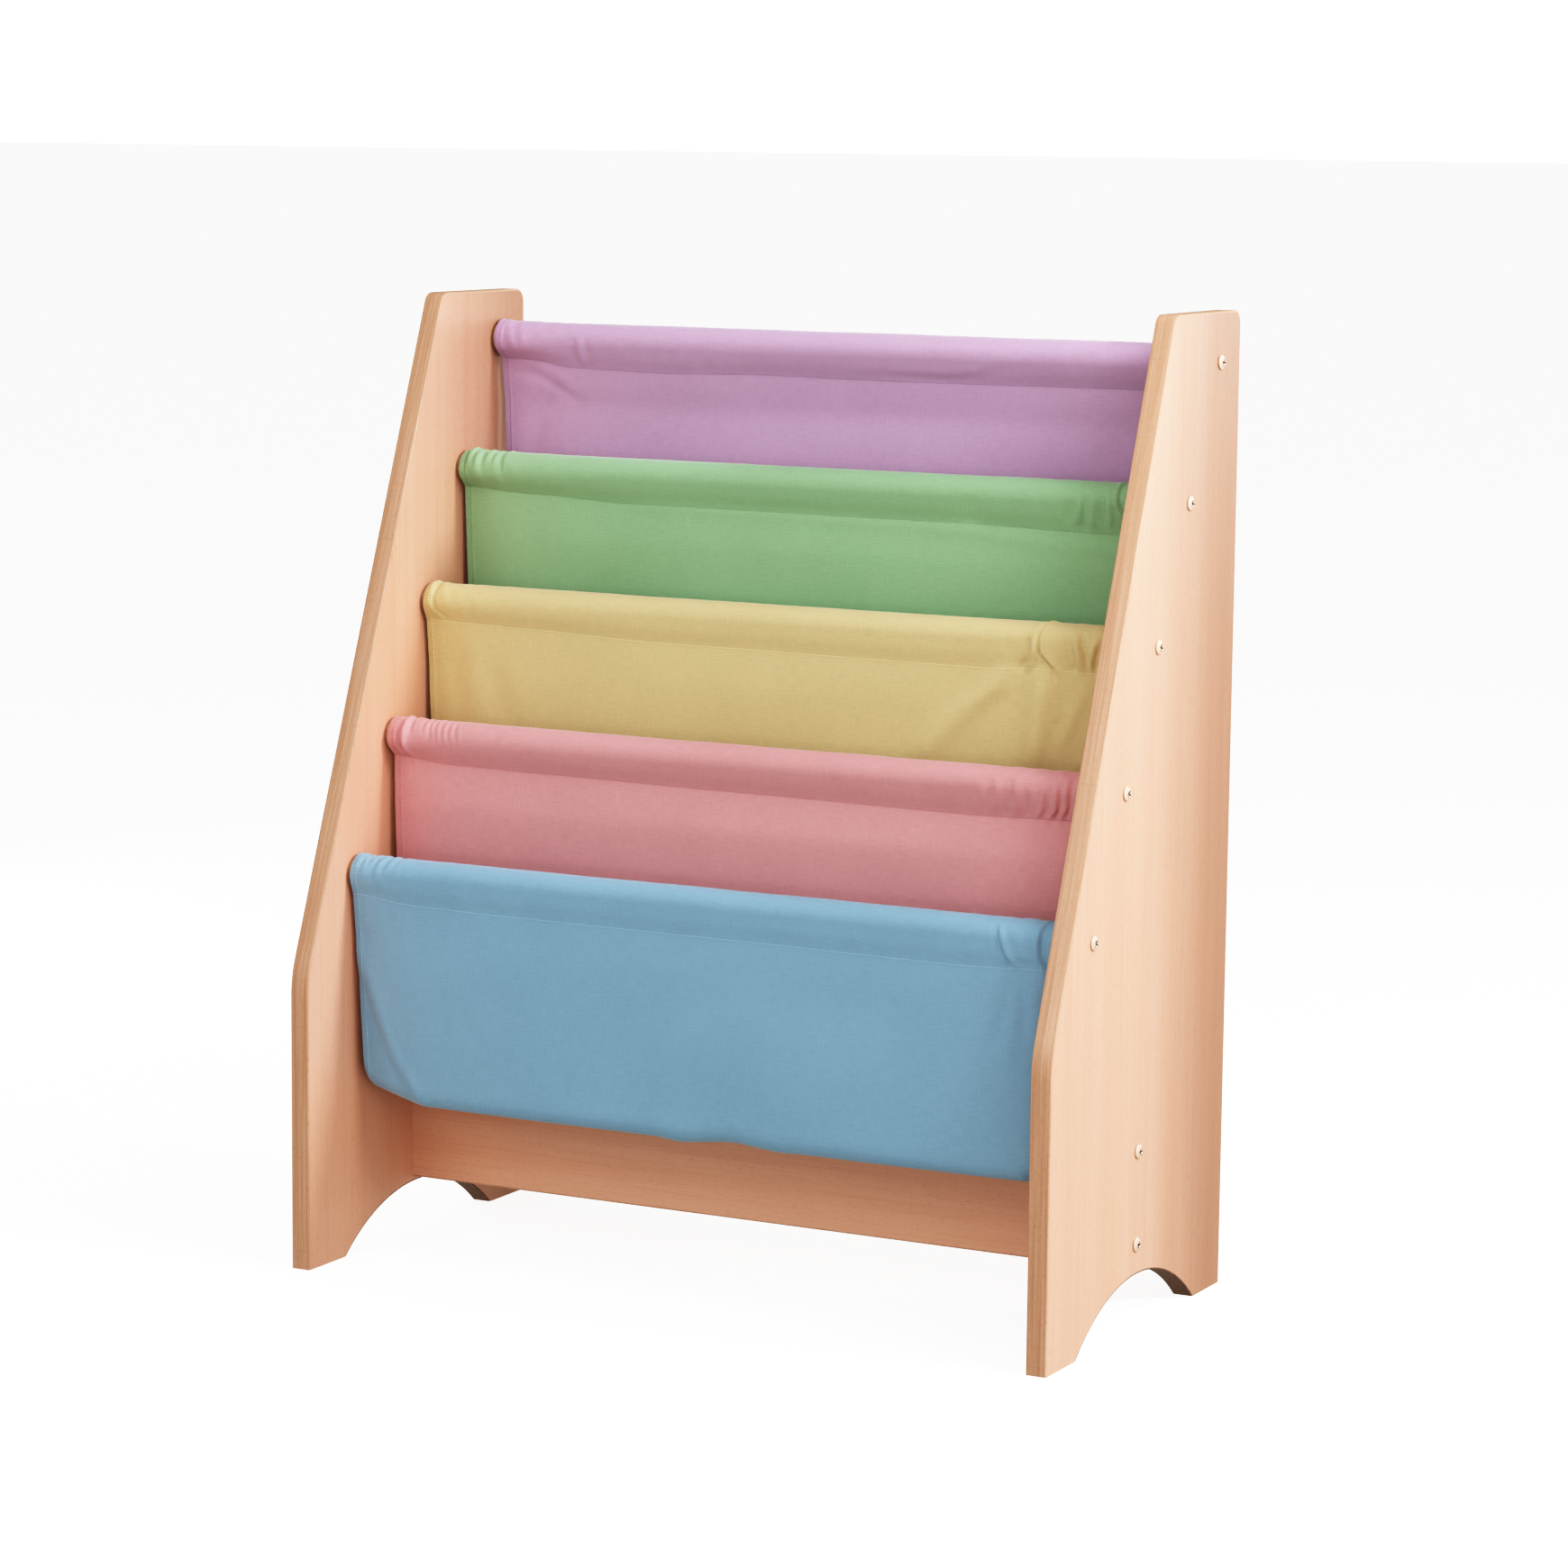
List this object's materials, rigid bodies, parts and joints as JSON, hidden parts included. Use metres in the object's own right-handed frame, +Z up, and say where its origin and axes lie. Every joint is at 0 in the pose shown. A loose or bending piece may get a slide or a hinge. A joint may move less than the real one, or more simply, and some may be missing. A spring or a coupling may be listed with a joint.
{
  "type": "sling bookshelf",
  "caption": "Children's sling bookshelf: laminated side panels, a low cross rail and dowels that carry pastel cloth pockets stepping up and back.",
  "frame": {"origin": "on the floor, under the middle of the shelf's width and depth", "axes": "+X to the right as seen from the front, +Y to the back, +Z up"},
  "size_m": [0.6152, 0.305, 0.711],
  "materials": {
    "beech_laminate": "satin laminate printed with straight beech grain",
    "edge_band": "satin, printed with darker beech grain",
    "dowel_wood": "sanded bare hardwood",
    "screw_enamel": "cream enamel, semi-gloss",
    "blue_canvas": "fine plain-weave cotton canvas",
    "pink_canvas": "fine plain-weave cotton canvas",
    "yellow_canvas": "fine plain-weave cotton canvas",
    "green_canvas": "fine plain-weave cotton canvas",
    "purple_canvas": "fine plain-weave cotton canvas"
  },
  "bodies": {
    "root": {"left_panel": "beech_laminate", "right_panel": "beech_laminate", "cross_rail": "beech_laminate", "left_edge_band": "edge_band", "right_edge_band": "edge_band", "left_arch_band": "edge_band", "right_arch_band": "edge_band", "rail_top_band": "edge_band", "rail_bottom_band": "edge_band", "dowel_1": "dowel_wood", "dowel_2": "dowel_wood", "dowel_3": "dowel_wood", "dowel_4": "dowel_wood", "dowel_5": "dowel_wood", "left_screw_rail_1": "screw_enamel", "left_screw_rail_2": "screw_enamel", "left_screw_dowel_1": "screw_enamel", "left_screw_dowel_2": "screw_enamel", "left_screw_dowel_3": "screw_enamel", "left_screw_dowel_4": "screw_enamel", "left_screw_dowel_5": "screw_enamel", "right_screw_rail_1": "screw_enamel", "right_screw_rail_2": "screw_enamel", "right_screw_dowel_1": "screw_enamel", "right_screw_dowel_2": "screw_enamel", "right_screw_dowel_3": "screw_enamel", "right_screw_dowel_4": "screw_enamel", "right_screw_dowel_5": "screw_enamel", "blue_sling": "blue_canvas", "pink_sling": "pink_canvas", "yellow_sling": "yellow_canvas", "green_sling": "green_canvas", "purple_sling": "purple_canvas"}
  },
  "joints": []
}
